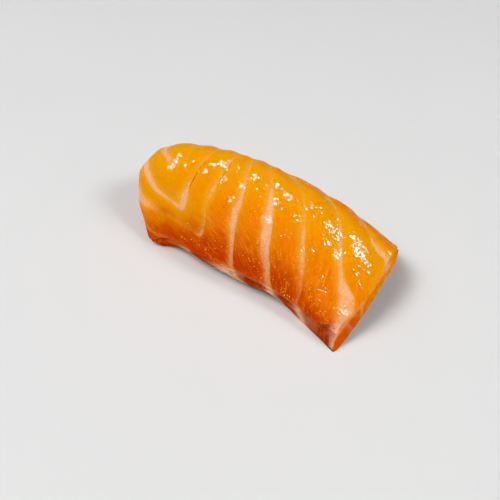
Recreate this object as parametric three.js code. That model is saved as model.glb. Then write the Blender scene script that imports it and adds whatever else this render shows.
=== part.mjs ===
// Salmon nigiri: one slice of raw salmon draped over a pressed bed of rice.
// Millimetres, +Z up. +X runs along the piece towards the square cut end of the slice,
// and the origin is on the ground under the middle of the whole piece.

import * as THREE from "three";

// Slice: guide points of its upper surface, evenly spaced from the tail end to the cut end.
const CREST = [[-36, 2], [-37, 15], [-28, 22.5], [-11, 26], [4.5, 25.5], [20, 21.5], [37.5, 14]];
const NEAR_EDGE = [
  [-28, -14, 1.2],
  [-25, -16, 2],
  [-19, -15.5, 5],
  [-8, -17, 6],
  [4.5, -17.5, 6],
  [16.5, -17.5, 5.5],
  [33.5, -20, 4.5],
];
const FAR_EDGE = [
  [-28, 13.5, 1.2],
  [-25, 15.5, 2.5],
  [-19, 17, 4],
  [-8, 18, 5.5],
  [4, 18, 5.5],
  [17.5, 18.5, 5.5],
  [34, 16, 3.5],
];
const SLICE_THICKNESS = 4;
const EDGE_THINNING = 0.08;
const ARCH_POWER = 2.5;
const ARCH_SPREAD = THREE.MathUtils.degToRad(75);
const EDGE_FLARE = 0.9;
const FLARE_ALONG = [0, 0.3];
const FLARE_ACROSS = [0.7, 1];

// Slanted cuts: how far the underside runs on past the upper surface's border,
// and the stretch of the slice over which it does so.
const NEAR_CUT = [2, 3, 3.5, 3.5, 3.5, 3, 6];
const FAR_CUT = 2;
const END_CUT = 2;
const SIDE_CUT_ACROSS = [0.6, 1];
const END_CUT_ALONG = [0.85, 1];

// Seams of fat between the blocks of muscle, as points (along, across) on the upper surface:
// along is 0 to 1 from tail to cut end, and across is -1 at the near edge and 1 at the far one.
const SEAMS = [
  [[0.26, 0.6], [0.29, 0.02], [0.35, -0.23], [0.38, -0.28], [0.39, 0.1], [0.34, 0.7]],
  [
    [0.17, 0.4], [0.21, -0.11], [0.26, -0.38], [0.34, -0.58],
    [0.42, -0.63], [0.44, -0.43], [0.46, -0.06], [0.41, 0.8],
  ],
  [
    [0.09, 0], [0.17, -0.47], [0.27, -0.67], [0.4, -0.77],
    [0.5, -0.78], [0.51, -0.54], [0.53, -0.19], [0.49, 0.6],
  ],
  [[0.64, -1], [0.61, -0.64], [0.61, -0.32], [0.58, 0.07], [0.55, 0.33], [0.51, 1]],
  [[0.79, -1], [0.72, -0.62], [0.7, -0.32], [0.64, 0.08], [0.61, 0.35], [0.57, 1]],
  [[0.9, -1], [0.84, -0.61], [0.8, -0.31], [0.76, -0.02], [0.66, 0.36], [0.62, 1]],
  [[1, -1], [0.95, -0.59], [0.89, -0.22], [0.84, 0.16], [0.8, 0.3], [0.74, 1]],
];
const SEAM_DEPTH = 0.3;
const SEAM_HALF_WIDTH = 1.4;

// Rice: a loaf on a flat foot, with its grains showing as lumps.
const RICE_CENTRE = new THREE.Vector3(-2.8, 0.3, 7.5);
const RICE_HALF_LENGTH = 25.2;
const RICE_HALF_WIDTH = 11.2;
const RICE_BELOW_WAIST = 10;
const RICE_TOP_TAIL = 21.4;
const RICE_TOP_CUT = 19.8;
const RICE_PLAN_POWER = 3;
const RICE_ARCH_POWER = 2.1;
const RICE_FOOT_POWER = 4;
const RICE_LUMP = 0.3;
const RICE_LUMP_PITCH = 5.5;

// Mesh steps.
const SLICE_STEPS_ALONG = 64;
const SLICE_STEPS_ACROSS = 38;
const UNDERSIDE_STRIDE = 2;
const RICE_RINGS = 34;
const RICE_RING_STEPS = 36;

// Small step for the directions on the drape, as a part of its length and half width.
const DIRECTION_STEP = 1e-3;

const smooth = ([low, high], value) => THREE.MathUtils.smoothstep(value, low, high);

function guide(points) {
  const curve = new THREE.CatmullRomCurve3(points, false, "catmullrom", 0.5);
  return (along) => curve.getPoint(along);
}

const crestAt = guide(CREST.map(([x, z]) => new THREE.Vector3(x, 0, z)));
const nearEdgeAt = guide(NEAR_EDGE.map((point) => new THREE.Vector3(...point)));
const farEdgeAt = guide(FAR_EDGE.map((point) => new THREE.Vector3(...point)));
const nearCutAt = guide(NEAR_CUT.map((reach) => new THREE.Vector3(reach, 0, 0)));

// The smooth drape of the slice: an arch from the crest down to either long edge.
function drape(along, across) {
  const crest = crestAt(along);
  const edge = across < 0 ? nearEdgeAt(along) : farEdgeAt(along);
  const reach = Math.abs(across);
  const spread = Math.sin(reach * ARCH_SPREAD) / Math.sin(ARCH_SPREAD);
  const flare = EDGE_FLARE * smooth(FLARE_ALONG, along);
  const width = (Math.abs(edge.y) - flare) * spread + flare * smooth(FLARE_ACROSS, reach);
  return new THREE.Vector3(
    crest.x + (edge.x - crest.x) * spread ** ARCH_POWER,
    Math.sign(edge.y) * width,
    edge.z + (crest.z - edge.z) * (1 - spread ** ARCH_POWER),
  );
}

// Unit directions on the drape: along it, across it and out of it.
function directions(along, across) {
  const step = DIRECTION_STEP;
  const u = THREE.MathUtils.clamp(along, step, 1 - step);
  const v = THREE.MathUtils.clamp(across, step - 1, 1 - step);
  const alongWay = drape(u + step, across).sub(drape(u - step, across)).normalize();
  const acrossWay = drape(along, v + step).sub(drape(along, v - step)).normalize();
  const outWay = alongWay.clone().cross(acrossWay).normalize();
  return { alongWay, acrossWay, outWay };
}

// Seams as points in millimetres on the slice laid flat.
const FLAT_LENGTH = 85;
const FLAT_HALF_WIDTH = 27;
const flatten = (along, across) => new THREE.Vector3(along * FLAT_LENGTH, across * FLAT_HALF_WIDTH, 0);
const seamLines = SEAMS.map((seam) => seam.map((point) => flatten(...point)));

function distanceToSeams(along, across) {
  const here = flatten(along, across);
  const nearest = new THREE.Vector3();
  let distance = Infinity;
  for (const line of seamLines) {
    for (let i = 1; i < line.length; i += 1) {
      new THREE.Line3(line[i - 1], line[i]).closestPointToPoint(here, true, nearest);
      distance = Math.min(distance, nearest.distanceTo(here));
    }
  }
  return distance;
}

function upperPoint(along, across) {
  const sunk = SEAM_DEPTH * Math.exp(-((distanceToSeams(along, across) / SEAM_HALF_WIDTH) ** 2));
  return drape(along, across).addScaledVector(directions(along, across).outWay, -sunk);
}

// The underside is one thickness in, and runs on past the border where the cut is slanted.
function lowerPoint(along, across) {
  const { alongWay, acrossWay, outWay } = directions(along, across);
  const thickness = SLICE_THICKNESS * (1 - EDGE_THINNING * across ** 4);
  const sideCut = across < 0 ? nearCutAt(along).x : FAR_CUT;
  const sideRun = Math.sign(across) * sideCut * smooth(SIDE_CUT_ACROSS, Math.abs(across)) ** 2;
  const endRun = END_CUT * smooth(END_CUT_ALONG, along) ** 2;
  const point = drape(along, across).addScaledVector(outWay, -thickness);
  point.addScaledVector(acrossWay, sideRun).addScaledVector(alongWay, endRun);
  point.z = Math.max(point.z, 0);
  return point;
}

// Gathers points and triangles into one closed mesh.
class SolidBuilder {
  positions = [];

  triangles = [];

  add(point) {
    this.positions.push(point.x, point.y, point.z);
    return this.positions.length / 3 - 1;
  }

  quad(a, b, c, d) {
    this.triangles.push(a, b, c, a, c, d);
  }

  // Joins two borders that run the same way, whatever their counts of points.
  zip(first, second) {
    let i = 0;
    let j = 0;
    while (i < first.length - 1 || j < second.length - 1) {
      const nextFirst = (i + 1) / (first.length - 1);
      const nextSecond = (j + 1) / (second.length - 1);
      if (nextFirst <= nextSecond) {
        this.triangles.push(first[i], second[j], first[i + 1]);
        i += 1;
      } else {
        this.triangles.push(first[i], second[j], second[j + 1]);
        j += 1;
      }
    }
  }

  geometry() {
    const geometry = new THREE.BufferGeometry();
    geometry.setAttribute("position", new THREE.Float32BufferAttribute(this.positions, 3));
    geometry.setIndex(this.triangles);
    geometry.computeVertexNormals();
    return geometry;
  }
}

// A grid of points over the slice, row by row from the tail end; facing sets which side is out.
function addSheet(builder, pointAt, stepsAlong, stepsAcross, facing) {
  const rows = [];
  for (let i = 0; i <= stepsAlong; i += 1) {
    const row = [];
    for (let j = 0; j <= stepsAcross; j += 1) {
      row.push(builder.add(pointAt(i / stepsAlong, (2 * j) / stepsAcross - 1)));
    }
    rows.push(row);
  }
  for (let i = 0; i < stepsAlong; i += 1) {
    for (let j = 0; j < stepsAcross; j += 1) {
      const corners = [rows[i][j], rows[i + 1][j], rows[i + 1][j + 1], rows[i][j + 1]];
      builder.quad(...(facing > 0 ? corners : corners.reverse()));
    }
  }
  return rows;
}

function salmonSlice() {
  const builder = new SolidBuilder();
  const top = addSheet(builder, upperPoint, SLICE_STEPS_ALONG, SLICE_STEPS_ACROSS, 1);
  const below = addSheet(
    builder,
    lowerPoint,
    SLICE_STEPS_ALONG / UNDERSIDE_STRIDE,
    SLICE_STEPS_ACROSS / UNDERSIDE_STRIDE,
    -1,
  );
  const near = (rows) => rows.map((row) => row[0]);
  const far = (rows) => rows.map((row) => row[row.length - 1]);
  builder.zip(near(top), near(below));
  builder.zip(far(below), far(top));
  builder.zip(below[0], top[0]);
  builder.zip(top[top.length - 1], below[below.length - 1]);
  return builder.geometry();
}

// Height of the lumps, from two crossed waves about as long as a grain.
function riceLump(x, y, z) {
  const turn = (2 * Math.PI) / RICE_LUMP_PITCH;
  const lengthwise = Math.sin(turn * x + Math.sin(turn * 0.4 * z));
  const slanting = Math.sin(turn * (0.8 * z + 0.5 * y) + x);
  return (RICE_LUMP * (lengthwise + slanting)) / 2;
}

// A point of the bed: station is -1 to 1 along it, and angle goes round its section.
function ricePoint(station, angle) {
  const plan = (1 - Math.abs(station) ** RICE_PLAN_POWER) ** (1 / RICE_PLAN_POWER);
  const side = Math.cos(angle);
  const top = THREE.MathUtils.lerp(RICE_TOP_TAIL, RICE_TOP_CUT, (station + 1) / 2) - RICE_CENTRE.z;
  const rise = top * plan * (1 - Math.abs(side) ** RICE_ARCH_POWER);
  const drop = RICE_BELOW_WAIST * Math.sqrt(plan) * (1 - Math.abs(side) ** RICE_FOOT_POWER);
  const x = station * RICE_HALF_LENGTH;
  const y = RICE_HALF_WIDTH * plan * side;
  const z = Math.sin(angle) > 0 ? rise : -drop;
  const swell = 1 + riceLump(x, y, z) / RICE_HALF_WIDTH;
  const point = new THREE.Vector3(x, y * swell, z * swell).add(RICE_CENTRE);
  point.z = Math.max(point.z, 0);
  return point;
}

function riceBed() {
  const builder = new SolidBuilder();
  const rings = [];
  for (let i = 1; i < RICE_RINGS; i += 1) {
    const station = -Math.cos((Math.PI * i) / RICE_RINGS);
    const ring = [];
    for (let j = 0; j < RICE_RING_STEPS; j += 1) {
      ring.push(builder.add(ricePoint(station, (2 * Math.PI * j) / RICE_RING_STEPS)));
    }
    rings.push(ring);
  }
  const [tail, cut] = [-1, 1].map((station) => builder.add(ricePoint(station, 0)));
  for (let j = 0; j < RICE_RING_STEPS; j += 1) {
    const next = (j + 1) % RICE_RING_STEPS;
    builder.triangles.push(tail, rings[0][next], rings[0][j]);
    builder.triangles.push(cut, rings[rings.length - 1][j], rings[rings.length - 1][next]);
    for (let i = 1; i < rings.length; i += 1) {
      builder.quad(rings[i - 1][j], rings[i - 1][next], rings[i][next], rings[i][j]);
    }
  }
  return builder.geometry();
}

function piece(name, geometry, color, roughness) {
  const material = new THREE.MeshStandardMaterial({ color, roughness, metalness: 0 });
  const mesh = new THREE.Mesh(geometry, material);
  mesh.name = name;
  return mesh;
}

const group = new THREE.Group();
group.add(piece("salmon_slice", salmonSlice(), 0xee8420, 0.3));
group.add(piece("rice_bed", riceBed(), 0xf1eee4, 0.5));

// Brings the middle of the whole piece over the origin.
const middle = new THREE.Box3().setFromObject(group).getCenter(new THREE.Vector3());
for (const mesh of group.children) {
  mesh.geometry.translate(-middle.x, -middle.y, 0);
}

export default group;
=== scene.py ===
"""Looks of a salmon nigiri: a slice of raw salmon draped over a bed of pressed rice.

The file is laid out as an add-on and run as a script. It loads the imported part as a
fixed frame, and each operator makes one kind of visible piece in that frame. Blender
objects are in metres with +Z up, and +X runs towards the square cut end of the slice.
Names ending in _MM, and the tables of the slice and the rice, are in millimetres. A
change such as (0.3, 1, 0.08, 0.35) goes from 0.3 to 1 between the places 0.08 and 0.35.
"""

import math

import bpy
import numpy as np
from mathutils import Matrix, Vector, noise


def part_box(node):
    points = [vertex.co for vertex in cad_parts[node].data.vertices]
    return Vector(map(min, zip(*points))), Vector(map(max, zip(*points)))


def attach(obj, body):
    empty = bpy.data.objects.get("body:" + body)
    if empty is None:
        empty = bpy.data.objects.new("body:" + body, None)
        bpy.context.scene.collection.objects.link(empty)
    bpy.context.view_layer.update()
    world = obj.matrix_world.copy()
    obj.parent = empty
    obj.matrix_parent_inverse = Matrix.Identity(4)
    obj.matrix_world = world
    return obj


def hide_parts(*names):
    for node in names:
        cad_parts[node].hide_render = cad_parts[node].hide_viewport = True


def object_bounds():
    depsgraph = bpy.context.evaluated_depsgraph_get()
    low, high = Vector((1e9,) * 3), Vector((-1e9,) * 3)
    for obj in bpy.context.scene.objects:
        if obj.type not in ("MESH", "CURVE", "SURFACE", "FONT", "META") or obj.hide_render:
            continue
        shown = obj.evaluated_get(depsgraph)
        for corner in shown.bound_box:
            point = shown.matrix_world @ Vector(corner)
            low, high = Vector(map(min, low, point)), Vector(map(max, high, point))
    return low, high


bl_info = {
    "name": "Salmon nigiri",
    "version": (1, 0, 0),
    "blender": (4, 5, 0),
    "location": "3D View > Sidebar > Nigiri",
    "description": "Makes the visible pieces of a salmon nigiri around its packed frame",
    "category": "Add Mesh",
}

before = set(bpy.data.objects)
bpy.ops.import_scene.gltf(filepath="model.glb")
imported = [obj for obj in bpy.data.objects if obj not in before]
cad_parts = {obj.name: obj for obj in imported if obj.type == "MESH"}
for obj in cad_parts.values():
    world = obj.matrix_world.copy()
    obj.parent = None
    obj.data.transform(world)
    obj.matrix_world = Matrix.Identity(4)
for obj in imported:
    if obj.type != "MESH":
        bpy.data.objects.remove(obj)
CAD_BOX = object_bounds()
SLICE_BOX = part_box("salmon_slice")
RICE_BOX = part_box("rice_bed")
MM = 0.001

# Slice: guide points of its upper surface, evenly spaced from the tail end to the cut end.
CREST = [(-36, 2), (-37, 15), (-28, 22.5), (-11, 26), (4.5, 25.5), (20, 21.5), (37.5, 14)]
NEAR_EDGE = [
    (-28, -14, 1.2), (-25, -16, 2), (-19, -15.5, 5), (-8, -17, 6), (4.5, -17.5, 6),
    (16.5, -17.5, 5.5), (33.5, -20, 4.5),
]
FAR_EDGE = [
    (-28, 13.5, 1.2), (-25, 15.5, 2.5), (-19, 17, 4), (-8, 18, 5.5), (4, 18, 5.5),
    (17.5, 18.5, 5.5), (34, 16, 3.5),
]
SLICE_THICKNESS_MM = 4
EDGE_THINNING = 0.08
ARCH_POWER = 2.5
ARCH_SPREAD = math.radians(75)
FLARE_MM = (0, 0.9, 0, 0.3)
FLARE_ACROSS = (0.7, 1)
NEAR_CUT = [2, 3, 3.5, 3.5, 3.5, 3, 6]
FAR_CUT_MM = 2
END_CUT_MM = 2
SIDE_CUT_ACROSS = (0.6, 1)
END_CUT_ALONG = (0.85, 1)
DIRECTION_STEP = 1e-3

# Seams of fat: (along, across, half width in mm, strength, and the crack at the sharp
# border, if any). The sharp border is on a seam's right and the soft one on its left.
SEAMS = {
    "inner_chevron": [
        (0.25, 0.65, 0.6, 0.7), (0.268, 0.3, 1, 1), (0.294, 0.033, 1.1, 1),
        (0.335, -0.12, 1, 0.95), (0.365, -0.22, 0.9, 0.7), (0.383, -0.25, 0.7, 0.4),
        (0.398, -0.15, 0.4, 0.3), (0.4, 0.1, 0.45, 0.35), (0.37, 0.7, 0.5, 0.3),
    ],
    "middle_chevron": [
        (0.165, 0.4, 0.7, 0.8), (0.185, 0.13, 1.1, 0.95), (0.212, -0.108, 1.35, 1),
        (0.263, -0.383, 1.4, 1), (0.3, -0.517, 1.1, 0.95, 0.1), (0.345, -0.583, 0.8, 0.9, 0.2),
        (0.385, -0.62, 0.75, 0.9, 0.2), (0.412, -0.635, 1.15, 1, 0.1), (0.425, -0.54, 1.3, 1, 0.2),
        (0.436, -0.433, 0.8, 0.9, 0.8), (0.45, -0.342, 0.3, 0.55, 1),
        (0.456, -0.233, 0.35, 0.65, 1), (0.459, -0.058, 0.45, 0.8, 0.5), (0.452, 0.3, 0.4, 0.5),
        (0.42, 0.8, 0.5, 0.5),
    ],
    "outer_chevron": [
        (0.085, 0.1, 0.6, 0.5), (0.11, -0.2, 1, 0.75), (0.145, -0.42, 1.5, 1),
        (0.185, -0.558, 1.5, 1), (0.24, -0.65, 1, 0.85), (0.28, -0.717, 0.35, 0.45, 0.1),
        (0.325, -0.75, 0.28, 0.5, 0.2), (0.4, -0.775, 0.28, 0.5, 0.2),
        (0.46, -0.785, 0.35, 0.55, 0.1), (0.492, -0.785, 0.7, 0.9), (0.502, -0.7, 0.6, 0.75),
        (0.505, -0.542, 0.4, 0.5), (0.512, -0.45, 0.75, 0.7, 0.1), (0.519, -0.37, 0.75, 0.85, 0.4),
        (0.527, -0.28, 0.35, 0.6, 1), (0.529, -0.192, 0.35, 0.7, 1), (0.524, 0.025, 0.5, 0.9, 0.6),
        (0.515, 0.3, 0.4, 0.5), (0.49, 0.7, 0.5, 0.5),
    ],
    "low_streak": [
        (0.06, -0.6, 0.6, 0.4), (0.1, -0.74, 0.7, 0.6), (0.175, -0.84, 0.6, 0.5),
        (0.25, -0.93, 0.6, 0.45), (0.34, -0.985, 0.6, 0.5), (0.44, -1, 0.6, 0.6),
    ],
    "second_band": [
        (0.645, -1, 0.9, 1), (0.632, -0.933, 0.85, 1), (0.621, -0.84, 0.8, 1),
        (0.613, -0.73, 0.9, 1), (0.607, -0.63, 1.1, 0.95, 0.1), (0.604, -0.52, 1.2, 0.95, 0.2),
        (0.608, -0.41, 1.05, 0.95, 0.4), (0.607, -0.3, 0.75, 0.9, 0.6),
        (0.601, -0.2, 0.6, 0.85, 0.6), (0.592, -0.1, 0.5, 0.85, 0.4), (0.58, 0.067, 0.5, 0.9, 0.2),
        (0.552, 0.333, 0.45, 0.9), (0.53, 0.65, 0.5, 0.8), (0.51, 1, 0.6, 0.8),
    ],
    "widest_band": [
        (0.8, -1, 0.9, 1), (0.782, -0.925, 0.9, 1), (0.767, -0.85, 0.95, 1, 0.1),
        (0.75, -0.76, 1.1, 1, 0.2), (0.728, -0.66, 1.4, 1, 0.2), (0.717, -0.55, 1.5, 1, 0.2),
        (0.709, -0.45, 1.45, 1, 0.2), (0.699, -0.34, 1.15, 1, 0.2),
        (0.687, -0.22, 0.85, 0.95, 0.2), (0.677, -0.133, 0.65, 0.95, 0.2),
        (0.66, -0.01, 0.55, 0.9, 0.1), (0.64, 0.1, 0.42, 0.9), (0.613, 0.35, 0.32, 0.85),
        (0.59, 0.65, 0.35, 0.8), (0.57, 1, 0.5, 0.8),
    ],
    "faint_band": [
        (0.886, -1, 0.5, 0.8), (0.882, -0.95, 0.5, 0.75), (0.874, -0.83, 0.5, 0.6),
        (0.862, -0.72, 0.65, 0.65), (0.846, -0.61, 0.85, 0.75), (0.825, -0.48, 0.85, 0.8),
        (0.801, -0.3, 0.65, 0.75), (0.784, -0.16, 0.5, 0.65), (0.764, -0.017, 0.45, 0.6),
        (0.745, 0.07, 0.5, 0.5), (0.722, 0.16, 0.5, 0.55), (0.692, 0.26, 0.75, 0.75),
        (0.662, 0.358, 1, 0.9), (0.64, 0.6, 0.8, 0.9), (0.62, 1, 0.7, 0.9),
    ],
    "fat_patch": [
        (1, -1.06, 1.1, 0.85), (0.998, -0.98, 1.1, 0.85), (0.99, -0.9, 1, 0.9),
        (0.984, -0.8, 1.4, 0.95), (0.98, -0.69, 2.1, 0.9), (0.972, -0.61, 2.2, 0.9),
        (0.956, -0.55, 1.75, 0.95), (0.94, -0.49, 1.15, 0.95), (0.922, -0.41, 0.85, 0.9),
        (0.906, -0.31, 0.75, 0.9), (0.893, -0.21, 0.65, 0.9), (0.88, -0.1, 0.6, 0.85),
        (0.866, 0, 0.55, 0.8), (0.85, 0.09, 0.5, 0.8), (0.834, 0.17, 0.5, 0.85),
        (0.805, 0.292, 0.5, 0.85), (0.78, 0.55, 0.6, 0.8), (0.74, 1, 0.6, 0.8),
    ],
    "last_chevron": [
        (0.86, 0.75, 0.3, 0.5), (0.895, 0.4, 0.3, 0.5), (0.917, 0.283, 0.32, 0.55),
        (0.932, 0.2, 0.5, 0.7), (0.947, 0.11, 0.8, 0.85), (0.965, 0.07, 1.15, 0.95),
        (0.985, 0.05, 1.2, 1), (0.996, -0.02, 0.85, 0.95), (1, -0.12, 0.5, 0.9),
        (1, -0.25, 0.35, 0.7), (1, -0.36, 0.2, 0.4),
    ],
    "second_foot": [
        (0.535, -1, 0.1, 0.5), (0.56, -0.995, 0.35, 0.9), (0.586, -0.985, 0.8, 1),
        (0.61, -0.975, 1.1, 1), (0.632, -0.97, 0.7, 1), (0.655, -0.98, 0.35, 0.8),
        (0.68, -0.99, 0.15, 0.6),
    ],
    "widest_foot": [
        (0.76, -0.945, 0.1, 0.5), (0.774, -0.96, 0.3, 0.9), (0.788, -0.975, 0.6, 1),
        (0.801, -0.985, 0.5, 1), (0.812, -0.99, 0.25, 0.9), (0.825, -0.995, 0.1, 0.5),
    ],
    "faint_foot": [
        (0.871, -0.965, 0.1, 0.6), (0.88, -0.975, 0.4, 0.9), (0.89, -0.99, 0.7, 1),
        (0.898, -1, 0.5, 0.95), (0.907, -1, 0.15, 0.6),
    ],
}
SEAM_SAMPLES = 90
SEAM_SOFT_MM = 1.2
SEAM_SHARP_MM = 0.17
SEAM_BLEND_MM = 0.3
FIELD_REACH_MM = 8
LEAST_MM_ALONG = 60
PLAIN_STRENGTH = 0.5

# The soft side of a seam by the share of its half width, and how pale a thin seam is by
# its half width.
SOFT_SIDE = (1, 0, -0.3, 0.3)
THIN_SEAM = (0.7, 1, 0.25, 0.7)

# Line along the near edge below which the slice's slanted cut face begins.
NEAR_CUT_LINE = [
    (0.5, -1.03), (0.56, -1.0), (0.61, -0.97), (0.66, -0.938), (0.71, -0.942), (0.76, -0.938),
    (0.805, -0.945), (0.845, -0.96), (0.885, -0.962), (0.915, -0.985), (0.938, -0.982),
    (0.955, -0.95), (0.97, -0.895), (0.985, -0.835), (1, -0.77),
]
CUT_LINE_HALF_MM = 0.1
CUT_LINE_SOFT = 0.1
CUT_LINE_STRENGTH = 0.4
CUT_FACE_LEAD_MM = 0.3
CUT_ALONG = (0.36, 0.5)
CUT_STEP_MM = (0, 0.2, 0, 0.3)
CUT_STEP_GAP_MM = (-0.2, 0.8)
CUT_SLOPE = 0.08

# Seams run slanted through the slice's thickness, except at its square end.
CUT_SLANT = -0.025
END_SLANT_ALONG = 0.985
CRACK_WIDTH_MM = 0.18

# Thin seams that cross the square end face.
END_FACE_ALONG = 0.999
END_FADE_MM = 4
END_SEAMS = (-0.5, 0.02, 0.3, 0.78)
END_SEAM_SLANT = 0.16
END_SEAM_HALF_MM = 0.22
END_SEAM_STRENGTH = 0.8
NEAR_END_ACROSS = (-0.45, -0.75)

# Blocks of flesh between the seams, each with its own lie of the fibres.
BLOCK_SEAMS = ("outer_chevron", "second_band", "widest_band", "faint_band", "fat_patch")
FIBRE_ANGLES = (18, 24, 34, 70, 78, 62)
BLOCKS_ALONG = 0.49
MM_ALONG = 82
MM_ACROSS = 27

# How far out the low red flesh begins, beyond the tail and near it, how much sooner at
# the cut end, and how red the tail's own end is. The low red is partly painted shade.
LOW_SPAN = (0.55, 0.86)
LOW_SPAN_TAIL = (0.6, 0.96)
LOW_ALONG = (0.4, 0.56)
LOW_SOONER = (0, 0.13, 0.82, 0.95)
LOW_TAIL_END = (0.8, 0, 0.02, 0.18)

# How fast the flesh deepens away from the crest, on either side, and at the tail's end.
# The yellow crest and the deeper slopes are partly painted light and shade.
DEEP_FAR = 1.4
DEEP_NEAR = (0.4, 1, 0.42, 0.64)
DEEP_TAIL_END = (0.35, 0, 0.08, 0.28)

# Ripples of the relief and of the borders of tones: height, size in mm and seed.
RIPPLES = {
    "swell": (0.16, 7, 1), "dimples": (0.035, 2.6, 2), "beads": (0.045, 0.6, 3),
    "cut_streaks": (0.16, 1.6, 4), "cut_grain": (0.07, 0.8, 5),
    "core_lumps": (0.35, 2.4, 6), "core_pits": (0.12, 0.9, 7),
    "low_waves": (0.05, 5, 8), "low_frays": (0.03, 1.8, 9), "tail_waves": (0.04, 5, 10),
    "slant_sway": (0.8, 2.4, 11),
}
RIPPLE_SHIFT = (7.31, 3.17, 5.77)

# Relief beside the seams, how high the beads are, and the streaks of the cut faces.
BULGE_FADE_MM = 1.6
GROOVE_MM = (0.05, 0, -0.4, 0.2)
BEADS_ALONG = (0.3, 1, 0.08, 0.35)
BEADS_ACROSS = (1, 0.4, 0.15, 0.6)
STREAK_STRETCH = (1, 1, 0.3)
CUT_RELIEF_MM = 0.05
INNER_ALONG = 0.98
INNER_ACROSS = 0.97

# What the mesh of the slice stores for its material.
SLICE_FIELDS = (
    "fat_gap", "fat_soft", "fat_strength", "crack", "rim", "cut", "low", "reach",
    "fibre_side", "fibre_run", "end_face", "near_end",
)

# Mesh steps of the slice.
STEPS_ALONG = 320
STEPS_ACROSS = 228
CUT_STEPS = 10
UNDERSIDE_STRIDE = 4
UNDERSIDE_MARGIN = 0.006
CUT_ROUNDING_MM = 0.7
TINY = 1e-12

# Rice: a loaf on a flat foot, in the slice's own frame before it is centred.
RICE_CENTRE = (-2.8, 0.3, 7.5)
RICE_HALF_LENGTH_MM = 25.2
RICE_HALF_WIDTH_MM = 11.2
RICE_BELOW_WAIST_MM = 10
RICE_TOP_MM = (21.4, 19.8)
RICE_PLAN_POWER = 3
RICE_ARCH_POWER = 2.1
RICE_FOOT_POWER = 4
RICE_OUTLINE_STEPS = (81, 73)
RICE_MARGIN_MM = 0.05

# Rings and steps round them of the rice's core and of a grain.
CORE_GRID = (60, 96)
GRAIN_GRID = (9, 10)
GRAIN_PLUMPNESS = 2.6

# Layers of grains: depth in mm, and spacing as a share of the setting.
GRAIN_LAYERS = ((1.35, 1), (2.3, 1.35))
GRAIN_TRIES = 9000
GRAIN_OUTWARD_MM = 0.8
GRAIN_LOWEST_MM = 0.6

# How grains vary: shares of their length and width, thickness as a share of the width,
# bend in mm, taper, and lean out of the loaf's surface.
GRAIN_LENGTHS = (0.86, 1.08)
GRAIN_WIDTHS = (0.9, 1.08)
GRAIN_THICKNESSES = (0.78, 0.92)
GRAIN_BENDS_MM = (0, 0.35)
GRAIN_TAPER = 0.16
GRAIN_LEAN = 0.22

# Stage: places in mm, sizes of the large soft lights, and a 36 mm sensor.
FLOOR_HALF_MM = 900
SOFTBOXES = {"key": ((-340, -470, 960), (500, 500)), "back": ((640, 120, 640), (400, 300))}
LIGHT_TARGET = (0, 0, 12)
CAMERA_PLACE = (62.6, -103.4, 123.1)
CAMERA_TARGET = (-1.2, -1.2, 0)
SENSOR_WIDTH = 36
CLIP_START_M = 0.01

# Small lamps, as azimuth and elevation in degrees from the piece and distance in mm.
LAMPS = (
    (190, 40, 900), (155, 49, 900), (127, 51, 900), (83, 69, 900), (64, 59, 900),
    (57, 47, 900), (38, 54, 900), (-21, 65, 900), (-145, 76, 900), (-97, 35, 1800),
)
LAMP_SIZE_MM = (230, 230)


def linear(red, green, blue):
    """Scene-linear colour of an sRGB colour given as 0 to 255."""
    return tuple(
        part / 12.92 if part <= 0.04045 else ((part + 0.055) / 1.055) ** 2.4
        for part in (red / 255, green / 255, blue / 255)
    )


# ---- shape of the slice


def through(values, where):
    """Points on a smooth curve through evenly spaced values; where runs from 0 to 1."""
    values = np.asarray(values, float)
    before = 2 * values[0] - values[1]
    after = 2 * values[-1] - values[-2]
    padded = np.concatenate([[before], values, [after]])
    spans = len(values) - 1
    place = np.clip(where, 0, 1) * spans
    first = np.minimum(place.astype(int), spans - 1)
    part = (place - first).reshape(place.shape + (1,) * (values.ndim - 1))
    a, b, c, d = (padded[first + offset] for offset in range(4))
    bend = (2 * a - 5 * b + 4 * c - d) + part * (3 * b - a - 3 * c + d)
    return b + 0.5 * part * ((c - a) + part * bend)


def smooth(span, value):
    """0 before the span, 1 after it, with a smooth rise between."""
    part = np.clip((value - span[0]) / (span[1] - span[0]), 0, 1)
    return part * part * (3 - 2 * part)


def level(change, value):
    """A change's first value before its span, and its second one after it."""
    first, last, *span = change
    return first + (last - first) * smooth(span, value)


def drape(along, across):
    """The slice's smooth upper surface, an arch from the crest down to either long edge."""
    crest = through(CREST, along)
    is_near = (across < 0)[..., None]
    edge = np.where(is_near, through(NEAR_EDGE, along), through(FAR_EDGE, along))
    reach = np.abs(across)
    spread = np.sin(reach * ARCH_SPREAD) / np.sin(ARCH_SPREAD)
    flare = level(FLARE_MM, along)
    width = (np.abs(edge[..., 1]) - flare) * spread + flare * smooth(FLARE_ACROSS, reach)
    fall = spread**ARCH_POWER
    x = crest[..., 0] + (edge[..., 0] - crest[..., 0]) * fall
    y = np.sign(edge[..., 1]) * width
    z = edge[..., 2] + (crest[..., 1] - edge[..., 2]) * (1 - fall)
    return np.stack([x, y, z], axis=-1)


def unit(ways):
    """Vectors of length 1 the same way."""
    return ways / (np.linalg.norm(ways, axis=-1, keepdims=True) + TINY)


def directions(along, across):
    """How the drape runs: millimetres per unit along and across, and its outward normal."""
    step = DIRECTION_STEP
    u = np.clip(along, step, 1 - step)
    v = np.clip(across, step - 1, 1 - step)
    along_way = (drape(u + step, across) - drape(u - step, across)) / (2 * step)
    across_way = (drape(along, v + step) - drape(along, v - step)) / (2 * step)
    return along_way, across_way, unit(np.cross(along_way, across_way))


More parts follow.
